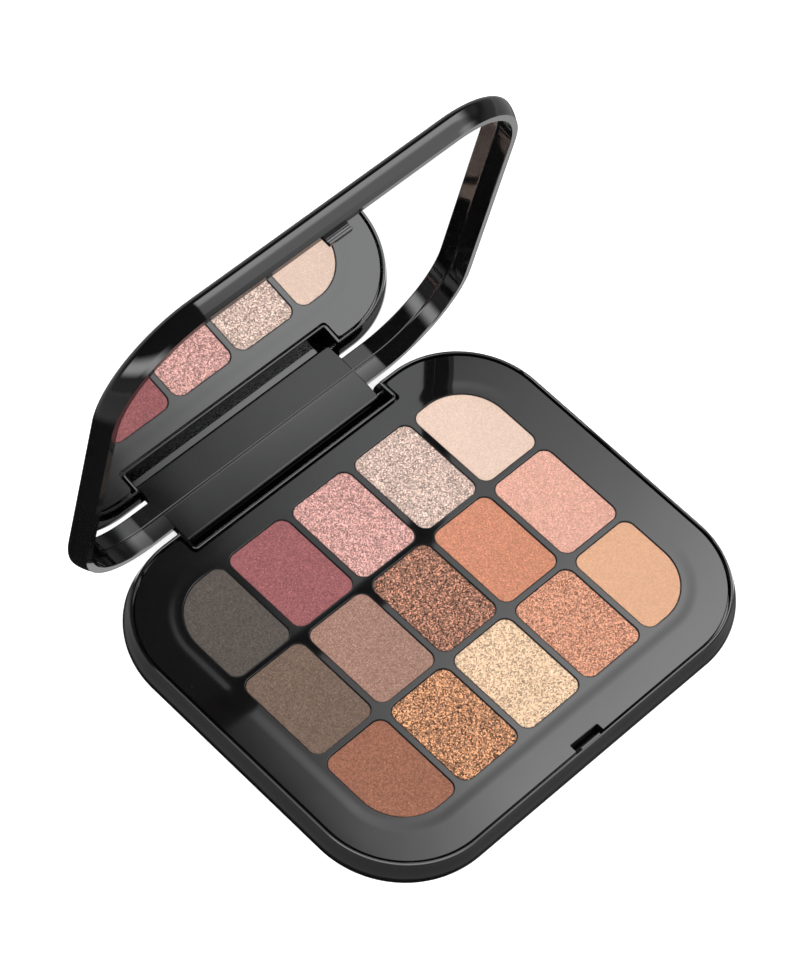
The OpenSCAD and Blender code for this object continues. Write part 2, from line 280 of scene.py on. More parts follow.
# thin foam tape: matte white with cells about 0.2 mm wide
def foamTape():
    finish, tree = startFinish("whiteFoamTape")
    coords = addNode(tree, "ShaderNodeTexCoord")
    cells = addNode(tree, "ShaderNodeTexVoronoi", {"Scale": perMm(0.2)}, {"Vector": (coords, "Object")})
    foam = addNode(tree, "ShaderNodeMix", {"A": linear("#f4f4f0"), "B": linear("#d8d8d2")},
                   {"Factor": (cells, "Distance")}, data_type="RGBA")
    bump = addNode(tree, "ShaderNodeBump", {"Strength": 0.6, "Distance": 0.03 * mm},
                   {"Height": (cells, "Distance")})
    shader = addNode(tree, "ShaderNodeBsdfPrincipled", {"IOR": 1.46, "Roughness": 0.85},
                     {"Base Color": (foam, "Result"), "Normal": (bump, "Normal")})
    addNode(tree, "ShaderNodeOutputMaterial", links={"Surface": (shader, "BSDF")})
    return finish


# how each kind of pressed powder looks, sizes in mm: grain and mottle are pattern sizes, each with how far it
# changes the tone; flake is a flake's width, darkBy and lightBy the tones between which flakes vary (at their
# widest, as in foil, painted glint and painted shade), paintedGlints the share of flakes brightened as painted
# glints and paintedGlintBy their tone, tilt how far flakes lean
powderLooks = {
    # talc-rich: no shine, an almost even tone
    "smooth": {"grain": 0.3, "grainDepth": 0.07, "mottle": 2.6, "mottleDepth": 0.02, "flake": 0.26,
               "darkBy": 0.9, "lightBy": 1.1, "paintedGlints": 0.01, "paintedGlintBy": 1.2, "tilt": 0.05,
               "metallic": 0.0, "roughness": 0.95, "relief": 0.015},
    # pigment-rich: no shine, a fine grain
    "matte": {"grain": 0.34, "grainDepth": 0.16, "mottle": 2.2, "mottleDepth": 0.04, "flake": 0.3,
              "darkBy": 0.74, "lightBy": 1.26, "paintedGlints": 0.03, "paintedGlintBy": 1.6, "tilt": 0.08,
              "metallic": 0.0, "roughness": 0.95, "relief": 0.02},
    # mica ground fine: a soft sheen
    "satin": {"grain": 0.32, "grainDepth": 0.12, "mottle": 2.0, "mottleDepth": 0.04, "flake": 0.3,
              "darkBy": 0.78, "lightBy": 1.22, "paintedGlints": 0.04, "paintedGlintBy": 1.5, "tilt": 0.12,
              "metallic": 0.08, "roughness": 0.65, "relief": 0.02},
    # coated mica: metallic sheen, and small flakes brightened as painted glints
    "shimmer": {"grain": 0.32, "grainDepth": 0.2, "mottle": 1.1, "mottleDepth": 0.06, "flake": 0.3,
                "darkBy": 0.4, "lightBy": 1.6, "paintedGlints": 0.1, "paintedGlintBy": 2.2, "tilt": 0.3,
                "metallic": 0.25, "roughness": 0.5, "relief": 0.02},
    # pale flakes packed close, with small pits
    "glitter": {"grain": 0.34, "grainDepth": 0.12, "mottle": 1.1, "mottleDepth": 0.06, "flake": 0.34,
                "darkBy": 0.5, "lightBy": 1.5, "paintedGlints": 0.12, "paintedGlintBy": 1.6, "tilt": 0.3,
                "metallic": 0.25, "roughness": 0.45, "relief": 0.025},
    # large metallic flakes in a dark base, with painted glints on the brightest flakes and painted shade,
    # nearly black, for the deep gaps between them
    "foil": {"grain": 0.32, "grainDepth": 0.25, "mottle": 1.0, "mottleDepth": 0.08, "flake": 0.3,
             "darkBy": 0.05, "lightBy": 1.85, "paintedGlints": 0.16, "paintedGlintBy": 3.6, "tilt": 0.4,
             "metallic": 0.3, "roughness": 0.45, "relief": 0.03},
}


# flakes are drawn 0.3 mm wide, a few times their real size, so that they show
def pressedPowder(name, colour, look, seed):
    finish, tree = startFinish(name)
    coords = addNode(tree, "ShaderNodeTexCoord")
    # each shade takes the patterns from another place, this many metres on
    offset = addNode(tree, "ShaderNodeMapping", {"Location": (seed * 0.031, seed * 0.017, 0)},
                     {"Vector": (coords, "Object")})
    place = {"Vector": (offset, "Vector")}
    grain = addNode(tree, "ShaderNodeTexNoise", {"Scale": perMm(look["grain"]), "Detail": 2}, place)
    depth = look["grainDepth"]
    body = addNode(tree, "ShaderNodeMix",
                   {"A": linear(colour, 1 - 2 * depth), "B": linear(colour, 1 + 2 * depth)},
                   {"Factor": (grain, "Fac")}, data_type="RGBA")
    mottle = addNode(tree, "ShaderNodeTexNoise", {"Scale": perMm(look["mottle"]), "Detail": 3}, place)
    patch = addNode(tree, "ShaderNodeMapRange",
                    {"From Min": 0.3, "From Max": 0.7, "To Min": 1 - look["mottleDepth"],
                    "To Max": 1 + look["mottleDepth"]}, {"Value": (mottle, "Fac")})
    cloudy = addNode(tree, "ShaderNodeVectorMath", links={0: (body, "Result"), "Scale": (patch, "Result")},
                     operation="SCALE")
    flakes = addNode(tree, "ShaderNodeTexVoronoi", {"Scale": perMm(look["flake"])}, place)
    pick = addNode(tree, "ShaderNodeSeparateColor", links={"Color": (flakes, "Color")})
    # flakes vary at random in tone; where the spread is wide, as in foil, the brightest are painted glints and
    # the darkest painted shade
    flakeToneAndPaintedGlint = addNode(tree, "ShaderNodeMapRange", {"To Min": look["darkBy"], "To Max": look["lightBy"]},
                    {"Value": (pick, "Red")})
    flaky = addNode(tree, "ShaderNodeVectorMath", links={0: (cloudy, "Vector"), "Scale": (flakeToneAndPaintedGlint, "Result")},
                    operation="SCALE")
    # painted glints: this share of the flakes takes a colour brighter than the powder's own
    isPaintedGlint = addNode(tree, "ShaderNodeMath", {1: 1 - look["paintedGlints"]}, {0: (pick, "Green")},
                      operation="GREATER_THAN")
    withPaintedGlints = addNode(tree, "ShaderNodeMix", {"B": linear(colour, look["paintedGlintBy"])},
                        {"Factor": (isPaintedGlint, "Value"), "A": (flaky, "Vector")}, data_type="RGBA")
    # every flake lies at its own tilt
    surface = addNode(tree, "ShaderNodeNewGeometry")
    centred = addNode(tree, "ShaderNodeVectorMath", {1: (0.5, 0.5, 0.5)}, {0: (flakes, "Color")},
                      operation="SUBTRACT")
    lean = addNode(tree, "ShaderNodeVectorMath", {"Scale": look["tilt"]}, {0: (centred, "Vector")},
                   operation="SCALE")
    leaning = addNode(tree, "ShaderNodeVectorMath", links={0: (surface, "Normal"), 1: (lean, "Vector")},
                      operation="ADD")
    facing = addNode(tree, "ShaderNodeVectorMath", links={0: (leaning, "Vector")}, operation="NORMALIZE")
    bump = addNode(tree, "ShaderNodeBump", {"Strength": 1, "Distance": look["relief"] * mm},
                   {"Height": (grain, "Fac"), "Normal": (facing, "Vector")})
    shader = addNode(tree, "ShaderNodeBsdfPrincipled",
                     {"IOR": 1.45, "Metallic": look["metallic"], "Roughness": look["roughness"],
                      "Sheen Weight": 0.05, "Sheen Roughness": 0.5},
                     {"Base Color": (withPaintedGlints, "Result"), "Normal": (bump, "Normal")})
    addNode(tree, "ShaderNodeOutputMaterial", links={"Surface": (shader, "BSDF")})
    return finish


casePlastic = polishedAbs("polishedBlackAbsCase", ["#070708", "#0c0c0d"], 0.008)
# the deck is the same plastic, a shade lighter
deckPlastic = polishedAbs("polishedBlackAbsDeck", ["#0b0b0c", "#111112"], 0.008)
# tinplate coloured dark as painted shade: its thin rims stand for the shade in the gaps round the powders, with
# a soft metal shine
gapShadeTinplate = drawnMetal("darkTinplateAsPaintedGapShade", ["#303031", "#454546"], 0.35, 0.3, (1, 1, 0.15))
# bright wire, drawn along the pins
pinSteel = drawnMetal("drawnSteelWire", ["#a9abad", "#cccdce"], 0.22, 0.12, (0.1, 1, 1))
mirrorSilver = silveredGlass()
mirrorEdge = groundGlassEdge()
glue = hotMeltGlue()
tape = foamTape()
print("finishes ready")


# the sides slope out from the line where base and lid meet, swell a little more and come in at the flat face.
# bulge is how far their widest line stands out, waist its distance from the flat face, foot how far in the flat
# face ends, slopeOut and slopeTall the slope at the top, and step how far that stops short of the lip's edge.
# Sizes here and below are in mm
caseBulge = 1.75  # how far the CAD's sides stand out
baseSide = {"bulge": 1.6, "waist": 5.4, "foot": 4.6, "slopeOut": 0.5, "slopeTall": 1.3, "step": 0.3}
lidSide = {"bulge": 1.5, "waist": 2.9, "foot": 4.6, "slopeOut": 0.5, "slopeTall": 0.9, "step": 0.3}
sideCurve = {"lowSteps": 14, "highSteps": 8, "slopeSteps": 4, "power": 1.5}

# the outline shared by the base, the deck and the lid, on the line where base and lid meet
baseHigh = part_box("base_shell")[1]
outline = {
    "halfWidth": baseHigh.x / mm - caseBulge,
    "halfDepth": baseHigh.y / mm - caseBulge,
    "cornerRadius": 25.5,
    "notchHalf": 34.2,          # the notch for the hinge, in the back edge
    "notchFront": 49.05,
    "notchRadii": (0.35, 0.5),  # at its mouth and at its inner corners
    "slotHalf": 4.7,            # the slot for the lid's tab, in the front edge
    "slotBack": -51.3,
    "cornerSteps": 30,
    "smallSteps": 4,            # for the notch's and the slot's corners
}
# which points of an outline belong to the notch, and which to the slot's two inner corners
bigPoints, smallPoints = outline["cornerSteps"] + 1, outline["smallSteps"] + 1
notchPoints = range(2 * bigPoints, 2 * bigPoints + 4 * smallPoints)
slotStart = 4 * bigPoints + 4 * smallPoints
slotInner = range(slotStart + smallPoints, slotStart + 3 * smallPoints)


# one outline of the case moved inwards, with the notch at the back and the slot at the front
def caseRing(inset, height, notchRadii=outline["notchRadii"], slotGrow=None, slotRadii=(0, 0),
             notchGrow=None):
    o = outline
    small = o["smallSteps"]
    grow = inset if notchGrow is None else notchGrow
    w, d = o["halfWidth"] - inset, o["halfDepth"] - inset
    big = (o["cornerRadius"] - inset, o["cornerSteps"])
    nx, ny = o["notchHalf"] + grow, o["notchFront"] - grow
    sx = o["slotHalf"] + (slotGrow or 0)
    sy = -d if slotGrow is None else o["slotBack"] + slotGrow
    mouth, inner = notchRadii
    slotMouth, slotCorner = slotRadii
    path = roundedPath([
        (w, -d, *big), (w, d, *big),
        (nx, d, mouth, small), (nx, ny, inner, small), (-nx, ny, inner, small), (-nx, d, mouth, small),
        (-w, d, *big), (-w, -d, *big),
        (-sx, -d, slotMouth, small), (-sx, sy, slotCorner, small),
        (sx, sy, slotCorner, small), (sx, -d, slotMouth, small),
    ])
    return atHeight(path, height)


# the side's curve from the flat face up to the lip: (inset, height) pairs
def sideLine(tall, s):
    c = sideCurve
    low = [(s["foot"] - (s["bulge"] + s["foot"]) * up, s["waist"] * back)
           for back, up in quarter(c["lowSteps"])]
    highTop = tall - s["step"] - s["slopeTall"]
    n = c["highSteps"]
    high = [(-s["bulge"] + (s["bulge"] - s["slopeOut"]) * (k / n) ** c["power"],
             s["waist"] + (highTop - s["waist"]) * k / n) for k in range(1, n + 1)]
    n = c["slopeSteps"]
    slope = [(-s["slopeOut"] * (1 - k / n), highTop + s["slopeTall"] * k / n) for k in range(1, n + 1)]
    return low + high + slope


baseShell = {
    "height": baseHigh.z / mm,
    "lip": 0.65,                # the thin wall that stands round the deck
    "lipOuterChamfer": 0.22,
    "lipInnerChamfer": 0.16,
    "innerMouth": 0.04,         # the notch's mouth on the inner side of the lip
    "ledge": 8.6,               # height of the ledge that the deck rests on
    "wall": 1.8,                # round the notch and the slot, below the ledge
    "hollow": 3.0,              # the inside starts this far in from the outline
    "hollowCorner": 1.5,
    "floor": 1.2,
    "notchFloor": 3.9,
    "notchEdge": 0.2,
    "notchClear": 0.05,         # the side's next ring is at least this far over the notch's floor
    "slotFront": -53.6,
    "slotFloors": (8.2, 7.4),   # at its front and at its back
    "catchHalf": 3.25,          # the ridge in the slot that holds the tab
    "catchBack": -53.25,
    "catchRoot": 0.05,          # how far it runs into the lip
    "catchHeights": (9.3, 9.8),
    "catchEase": 0.12,
}


# a block with its edges eased
def addBlock(bm, low, high, ease):
    made = bmesh.ops.create_cube(bm, size=1)["verts"]
    for v in made:
        v.co = Vector([(low[i] + high[i]) / 2 + v.co[i] * (high[i] - low[i]) for i in range(3)]) * mm
    edges = list({e for v in made for e in v.link_edges})
    bmesh.ops.bevel(bm, geom=edges, offset=ease * mm, segments=meshing["easeFacets"], profile=0.5,
                    affect="EDGES")


def buildBase():
    s = baseShell
    bm = bmesh.new()

    def withNotch(ring, back):  # the notch's part of a ring pushed out to the back face
        moved = [p.copy() for p in ring]
        for i in notchPoints:
            moved[i].y = back
        return moved

    top, depth = s["height"], outline["halfDepth"]
    side = sideLine(top, baseSide)
    # below the notch's floor the sides run on round the back
    level = [pair for pair in side if pair[1] < s["notchFloor"] - s["notchEdge"]]
    rings = [withNotch(caseRing(inset, z, notchGrow=0), depth - inset) for inset, z in level]
    before, after = level[-1], side[len(level)]
    for back, up in quarter(4):  # rounded edge of the notch's floor
        z = s["notchFloor"] - s["notchEdge"] * (1 - up)
        share = (z - before[1]) / (after[1] - before[1])
        inset = before[0] + (after[0] - before[0]) * share
        rings.append(withNotch(caseRing(inset, z, notchGrow=0), depth - inset - s["notchEdge"] * back))
    rings.append(caseRing(inset, s["notchFloor"], notchGrow=0))
    rings += [caseRing(inset, z, notchGrow=0) for inset, z in side if z > s["notchFloor"] + s["notchClear"]]
    mouth, inner = outline["notchRadii"]
    r, chamfer = s["lipOuterChamfer"], quarter(1)
    rings += [caseRing(r * back, top - r + r * up, (mouth - r * back, inner + r * back))
              for back, up in chamfer]
    r, lip, mouth = s["lipInnerChamfer"], s["lip"], s["innerMouth"]
    rings += [caseRing(lip - r * back, top - r + r * up, (mouth, inner + lip - r * back))
              for back, up in chamfer[::-1]]
    rings.append(caseRing(lip, s["ledge"], (mouth, inner + lip)))
    for y, z in ((s["slotFront"], s["ledge"]), (s["slotFront"], s["slotFloors"][0]),
                 (outline["slotBack"], s["slotFloors"][1]), (outline["slotBack"], s["ledge"])):
        ring = caseRing(lip, s["ledge"], (mouth, inner + lip))
        for i in slotInner:
            ring[i].y, ring[i].z = y, z
        rings.append(ring)
    for z in (s["ledge"], s["floor"]):
        rings.append(caseRing(s["hollow"], z, (mouth, s["hollowCorner"]), s["wall"], notchGrow=s["wall"]))
    skin(bm, rings, capFirst=True, capLast=True)
    addBlock(bm, (-s["catchHalf"], -outline["halfDepth"] + lip - s["catchRoot"], s["catchHeights"][0]),
             (s["catchHalf"], s["catchBack"], s["catchHeights"][1]), s["catchEase"])
    finishPiece(bm, "baseShell", "base", "base_shell", [casePlastic])


buildBase()
print("base shell built")


# each powder's shade, colour and look, from the front left, row by row
shades = [
    ("brick", "#91604c", "matte"), ("copper", "#9f7051", "foil"), ("champagne", "#d7b697", "glitter"),
    ("rose", "#be866c", "shimmer"), ("peach", "#d7a686", "smooth"),
    ("olive", "#6c594d", "matte"), ("rosewood", "#977567", "matte"), ("bronze", "#835b49", "foil"),
    ("coral", "#c28165", "satin"), ("pink", "#d6a190", "satin"),
    ("charcoal", "#504944", "matte"), ("mauve", "#8e5557", "matte"), ("petal", "#ba8d86", "shimmer"),
    ("silver", "#baa297", "shimmer"), ("cream", "#d8bdad", "smooth"),
]

columns, rows = 5, 3
cornerSigns = ((1, -1), (1, 1), (-1, 1), (-1, -1))  # the corners of a rectangle, anticlockwise

deckLow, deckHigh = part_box("deck_tray")
deckTray = {
    "inset": 1.15,             # from the outline to the deck's edge, across the lip and the groove
    "underside": 8.6,
    "sunk": 0.12,              # below the CAD's deck, so that the lip and the powders stand over it
    "edgeChamfer": 0.18,
    "notchRadii": (1.2, 1.0),  # at the notch's mouth and at its inner corners
    "slotRadii": (0.4, 0.3),
    "dishDepth": 0.035,
    "dishSlope": 3.4,          # width of the slope round the dish
    "dishMargin": 1.0,
    "dishSteps": 12,
    "wellEdge": 0.14,
    "wellEdgeSteps": 4,
    "wellFloor": 6.1,
    "wellRadius": 3.0,
    "wellSteps": 12,
    "bigRadius": 13.5,         # the corner well's corner, which follows the case
    "bigSteps": 26,
    "leastRadius": 0.3,
    "blockWall": 1.2,          # round the wells, under the deck
    "powderGap": 0.37,         # from a well's side to the powder's side in the pan
}


# middle and half size of a well, from the powder that fills it
def wellAt(index):
    low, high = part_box("powder_" + shades[index][0])
    gap = deckTray["powderGap"]
    return ((low.x + high.x) / 2 / mm, (low.y + high.y) / 2 / mm,
            (high.x - low.x) / 2 / mm + gap, (high.y - low.y) / 2 / mm + gap)


# a well's outline, moved inwards; the wells in the case's corners have one large corner
def wellRing(index, inset, height):
    x, y, w, d = wellAt(index)
    s = deckTray
    corners = []
    for sx, sy in cornerSigns:
        caseCorner = (columns - 1 if sx > 0 else 0, rows - 1 if sy > 0 else 0)
        large = (index % columns, index // columns) == caseCorner
        radius, steps = (s["bigRadius"], s["bigSteps"]) if large else (s["wellRadius"], s["wellSteps"])
        radius = max(radius - inset, s["leastRadius"])
        corners.append((x + sx * (w - inset), y + sy * (d - inset), radius, steps))
    return atHeight(roundedPath(corners), height)


# a rounded rectangle about the middle of the case
def plainRing(halfX, halfY, radius, height, steps=outline["cornerSteps"]):
    corners = [(sx * halfX, sy * halfY, radius, steps) for sx, sy in cornerSigns]
    return atHeight(roundedPath(corners), height)


def buildDeck():
    s = deckTray
    bm = bmesh.new()
    lastX, lastY, halfX, halfY = wellAt(len(shades) - 1)
    fieldX, fieldY = lastX + halfX, lastY + halfY
    corner, r, top = s["bigRadius"], s["edgeChamfer"], deckHigh.z / mm - s["sunk"]
    mouth, inner = s["notchRadii"]
    slotMouth, slotCorner = s["slotRadii"]

    def edgeRing(inward, height):
        return caseRing(s["inset"] + inward, height, (mouth - inward, inner + inward), inward,
                        (slotMouth - inward, slotCorner + inward))

    rings = [edgeRing(0, s["underside"])]
    rings += [edgeRing(r * back, top - r + r * up) for back, up in quarter(1)]
    outer = skin(bm, rings)
    rings = []
    for k in range(s["dishSteps"] + 1):
        t = k / s["dishSteps"]
        grow = s["dishMargin"] + s["dishSlope"] * (1 - t)
        z = top - s["dishDepth"] * (1 - math.cos(math.pi * t)) / 2
        rings.append(plainRing(fieldX + grow, fieldY + grow, corner + grow, z))
    dish = skin(bm, rings)
    fillPlate(bm, [outer[-1], dish[0]])
    dishZ, edge = top - s["dishDepth"], s["wellEdge"]
    mouths = []
    for i in range(len(shades)):
        rings = [wellRing(i, -edge * back, dishZ - edge * (1 - up))
                 for back, up in quarter(s["wellEdgeSteps"])[::-1]]
        rings.append(wellRing(i, 0, s["wellFloor"]))
        mouths.append(skin(bm, rings, capLast=True)[0])
    fillPlate(bm, [dish[-1]] + mouths)
    wall = s["blockWall"]
    rings = [plainRing(fieldX + wall, fieldY + wall, corner + wall, z)
             for z in (s["underside"], deckLow.z / mm)]
    block = skin(bm, rings, capLast=True)
    fillPlate(bm, [outer[0], block[0]])
    finishPiece(bm, "deckTray", "base", "deck_tray", [deckPlastic], flatTop=True)


buildDeck()
print("deck tray built")


powderShape = {
    "reach": 0.2,      # the powder stands over the pan's rim, this far from the well's side
    "rim": 9.66,       # height of the pan's rim
    "edgeTall": 0.1,
    "edgeWide": 0.16,
    "proud": 0.005,    # over the CAD's powder
    "crown": 0.025,    # how much higher the middle is than the edge
    # distance from the well's side, share of the crown
    "dome": ((0.8, 0.25), (1.6, 0.55), (3, 0.85), (4.5, 1)),
}


def buildPowder(index):
    shade, colour, look = shades[index]
    s = powderShape
    low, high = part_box("powder_" + shade)
    top = high.z / mm + s["proud"]
    inPan = deckTray["powderGap"]
    bm = bmesh.new()
    rings = [wellRing(index, inPan, low.z / mm), wellRing(index, inPan, s["rim"]),
             wellRing(index, s["reach"], s["rim"])]
    tall, wide = s["edgeTall"], s["edgeWide"]
    rings += [wellRing(index, s["reach"] + wide * back, top - tall + tall * up) for back, up in quarter(4)]
    rings += [wellRing(index, inward, top + s["crown"] * share) for inward, share in s["dome"]]
    skin(bm, rings, capFirst=True, capLast=True)
    finish = pressedPowder(look + "Powder" + shade.capitalize(), colour, powderLooks[look], index + 1)
    finishPiece(bm, "powder" + shade.capitalize(), "base", "powder_" + shade, [finish])


for index in range(len(shades)):
    buildPowder(index)


# the pans, pins, glue and tape keep the CAD's shape and take a finish from here
def refinish(nodeName, finish):
    for holder in frame["nodes"][nodeName].material_slots:
        holder.material = finish


for shade, colour, look in shades:
    refinish("pan_" + shade, gapShadeTinplate)
refinish("pan_glue", glue)
refinish("hinge_pin_left", pinSteel)
refinish("hinge_pin_right", pinSteel)
refinish("mirror_tape", tape)
print("powders, pans and pins ready")


# the lid is built closed, over the base, and then turned open about the hinge
opened = Matrix.Translation(hingeAt)
opened @= Matrix.Rotation(math.radians(-openAngle), 4, "X")
opened @= Matrix.Translation(-hingeAt)

lidShell = {
    "rim": 10.7,                 # heights with the lid closed
    "outside": 17.9,
    "roof": 16.45,
    "wall": 2.2,
    "rimTall": 0.3,              # the slope on both edges of the rim
    "rimWide": 0.17,
    "rimSteps": 4,
    "beadOver": 0.28,            # a bead stands in over the mirror's edge
    "beadHeights": (14.75, 15.22, 15.27),
    "blockHalf": 32.95,          # the block that carries the hinge, in the middle of the back wall
    "blockEase": 0.25,
    "barrel": hingeAt.z / mm,
    "tabHalf": 3.65,
    "tabFront": -52.95,
    "tabThick": 1.3,
    "tabReach": 2.2,             # below the rim
    "tabRoot": 4.3,              # and above it
    "tabGroove": (1.5, 0.8),     # depths below the rim
    "grooveDeep": 0.3,
    "panelTall": 4.9,            # the sunk panel on the tab's inner face
    "panelBorder": 0.9,
    "panelDeep": 0.4,
    "tabEase": 0.14,
    "ribLong": 8.0,
    "ribDeep": 0.9,
    "ribHeights": (14.0, 15.2),
    "ribSteps": 6,
    "ribRoot": 0.05,             # how far a rib runs into the wall
    "ribEase": 0.12,
}


# an outline of the lid whose back span, the hinge block, takes its own inset and height
def lidRing(inset, height, blockLine):
    o = outline
    w, d = o["halfWidth"] - inset, o["halfDepth"] - inset
    big = (o["cornerRadius"] - inset, o["cornerSteps"])
    path = atHeight(roundedPath([(w, -d, *big), (w, d, *big), (-w, d, *big), (-w, -d, *big)]), height)
    half = o["cornerSteps"] * 2 + 2
    right = [Vector((lidShell["blockHalf"], d, height))]
    for x, blockInset, blockHeight in blockLine:
        right.append(Vector((x, o["halfDepth"] - blockInset, blockHeight)))
    left = [Vector((-p.x, p.y, p.z)) for p in right[::-1]]
    return path[:half] + right + left + path[half:]


def buildLid():
    s = lidShell
    bm = bmesh.new()
    rim, wall, ease, half = s["rim"], s["wall"], s["blockEase"], s["blockHalf"]
    blockEdge = [(0, 0)] + quarter(meshing["easeFacets"])

    def level(inset, height):
        return lidRing(inset, height, [(half - ease * back, inset, height) for back, up in blockEdge])

    rings = [level(inset, s["outside"] - z) for inset, z in sideLine(s["outside"] - rim, lidSide)]
    tall, wide, n = s["rimTall"], s["rimWide"], s["rimSteps"]
    rimLine = [(wide * k / n, rim + tall * (1 - k / n)) for k in range(n + 1)]
    rimLine += [(wall - wide * (1 - k / n), rim + tall * k / n) for k in range(n + 1)]
    # where the rim crosses the block it goes down and round the barrel instead
    barrel = wall / 2
    for k, (inset, height) in enumerate(rimLine):
        angle = math.pi * k / (len(rimLine) - 1)
        line = []
        for back, up in blockEdge:
            radius = barrel - ease * (1 - up)
            line.append((half - ease * back, barrel - radius * math.cos(angle),
                         s["barrel"] - radius * math.sin(angle)))
        rings.append(lidRing(inset, height, line))
    over = wall + s["beadOver"]
    low, high, behind = s["beadHeights"]
    rings += [level(wall, low), level(over, high), level(over, behind), level(wall, behind)]
    rings.append(level(wall, s["roof"]))
    skin(bm, rings, capFirst=True, capLast=True)
    addTab(bm)
    addRibs(bm)
    finishPiece(bm, "lidShell", "lid", "lid_shell", [casePlastic], opened)


# the tab: a groove outside for the catch, and a sunk panel inside
def addTab(bm):
    s = lidShell
    front, low = s["tabFront"], s["rim"] - s["tabReach"]
    back, high = front + s["tabThick"], s["rim"] + s["tabRoot"]
    grooveLow, grooveHigh = [s["rim"] - depth for depth in s["tabGroove"]]
    grooveBack, panelTop = front + s["grooveDeep"], low + s["panelTall"]
    side = [(front, low), (front, grooveLow), (grooveBack, grooveLow), (grooveBack, grooveHigh),
            (front, grooveHigh), (front, high), (back, high), (back, panelTop), (back, low)]
    tab = bmesh.new()
    ends = [[tab.verts.new(Vector((x, y, z)) * mm) for y, z in side] for x in (-s["tabHalf"], s["tabHalf"])]
    for i in range(len(side)):
        j = (i + 1) % len(side)
        tab.faces.new((ends[0][i], ends[0][j], ends[1][j], ends[1][i]))
    tab.faces.new(ends[0][::-1])
    tab.faces.new(ends[1])
    bmesh.ops.recalc_face_normals(tab, faces=tab.faces)
    panel = [f for f in tab.faces if f.normal.y > 0.9 and f.calc_center_median().z < panelTop * mm]
    bmesh.ops.inset_individual(tab, faces=panel, thickness=s["panelBorder"] * mm, depth=-s["panelDeep"] * mm)
    sharp = [e for e in tab.edges if len(e.link_faces) == 2 and e.calc_face_angle() > 0.5]
    bmesh.ops.bevel(tab, geom=sharp, offset=s["tabEase"] * mm, segments=meshing["easeFacets"], profile=0.5,
                    affect="EDGES", clamp_overlap=True)
    mesh = bpy.data.meshes.new("tab")
    tab.to_mesh(mesh)
    tab.free()
    bm.from_mesh(mesh)
    bpy.data.meshes.remove(mesh)


# ribs across two inner corners of the lid, over the mirror's edge
def addRibs(bm):
    s = lidShell
    radius = outline["cornerRadius"] - s["wall"]
    reach = radius - s["ribDeep"]
    halfLong, e, n = s["ribLong"] / 2, s["ribEase"], s["ribSteps"]
    spread = math.asin(halfLong / radius)
    low, high = s["ribHeights"]
    for sign in (1, -1):
        centre = Vector((sign * (outline["halfWidth"] - outline["cornerRadius"]),
                         -sign * (outline["halfDepth"] - outline["cornerRadius"])))
        facing = Matrix.Rotation(math.radians(-45 if sign > 0 else 135), 2)
        angles = [spread * (k / n - 1) for k in range(2 * n + 1)]
        plan = [Vector((reach, -halfLong))]
        plan += [Vector((math.cos(a), math.sin(a))) * (radius + s["ribRoot"]) for a in angles]
        plan.append(Vector((reach, halfLong)))
        eased = [p.copy() for p in plan]
        eased[0] += Vector((e, e))
        eased[-1] += Vector((e, -e))
        plan, eased = ([centre + facing @ p for p in points] for points in (plan, eased))
        rings = [atHeight(eased, low), atHeight(plan, low + e), atHeight(plan, high - e),
                 atHeight(eased, high)]
        skin(bm, rings, capFirst=True, capLast=True)


buildLid()
print("lid shell built")

mirrorGlass = {
    "inset": 2.35,
    "face": 15.3,       # heights with the lid closed
    "back": 16.3,
    "edgeWide": 0.35,   # the ground edge round the face
    "edgeDeep": 0.2,
    "cornerSteps": 36,
}


def buildMirror():
    s = mirrorGlass
    bm = bmesh.new()
    o = outline

    def ring(inset, height):
        return plainRing(o["halfWidth"] - inset, o["halfDepth"] - inset, o["cornerRadius"] - inset, height,
                         s["cornerSteps"])

    inset = s["inset"]
    skin(bm, [ring(inset + s["edgeWide"], s["face"]), ring(inset, s["face"] + s["edgeDeep"]),
              ring(inset, s["back"])], capFirst=True, capLast=True)
    for face in bm.faces:  # all but the two flat faces
        if len(face.verts) == 4:
            face.material_index = 1
    finishPiece(bm, "mirrorGlass", "lid", "mirror_glass", [mirrorSilver, mirrorEdge], opened)


buildMirror()
print("mirror built")


# white acrylic light table: a matte skin lit evenly from beneath, so shadows wash out
def lightTable():
    finish, tree = startFinish("whiteAcrylicLightTable")
    coords = addNode(tree, "ShaderNodeTexCoord")
    cloud = addNode(tree, "ShaderNodeTexNoise", {"Scale": perMm(60), "Detail": 4},
                    {"Vector": (coords, "Object")})
    acrylic = addNode(tree, "ShaderNodeMix", {"A": linear("#f8f8f8"), "B": linear("#fbfbfb")},
                      {"Factor": (cloud, "Fac")}, data_type="RGBA")
    shader = addNode(tree, "ShaderNodeBsdfPrincipled",
                     {"Roughness": 0.9, "Specular IOR Level": 0.1, "Emission Strength": 0.8},
                     {"Base Color": (acrylic, "Result"), "Emission Color": (acrylic, "Result")})
    addNode(tree, "ShaderNodeOutputMaterial", links={"Surface": (shader, "BSDF")})
    return finish


table = {
    "radius": 5,      # metres
    "drop": 0.0002,   # below the palette's foot, so that the two faces don't share a plane
    "sides": 64,
}
tableAngles = [2 * math.pi * k / table["sides"] for k in range(table["sides"])]
floorMesh = bpy.data.meshes.new("studioFloor")
floorMesh.from_pydata([(table["radius"] * math.cos(a), table["radius"] * math.sin(a), -table["drop"])
                       for a in tableAngles], [], [list(range(table["sides"]))])
floorMesh.materials.append(lightTable())
floor = bpy.data.objects.new("studioFloor", floorMesh)
bpy.context.scene.collection.objects.link(floor)
floor.visible_glossy = False  # gloss sees the room below the horizon in place of the table

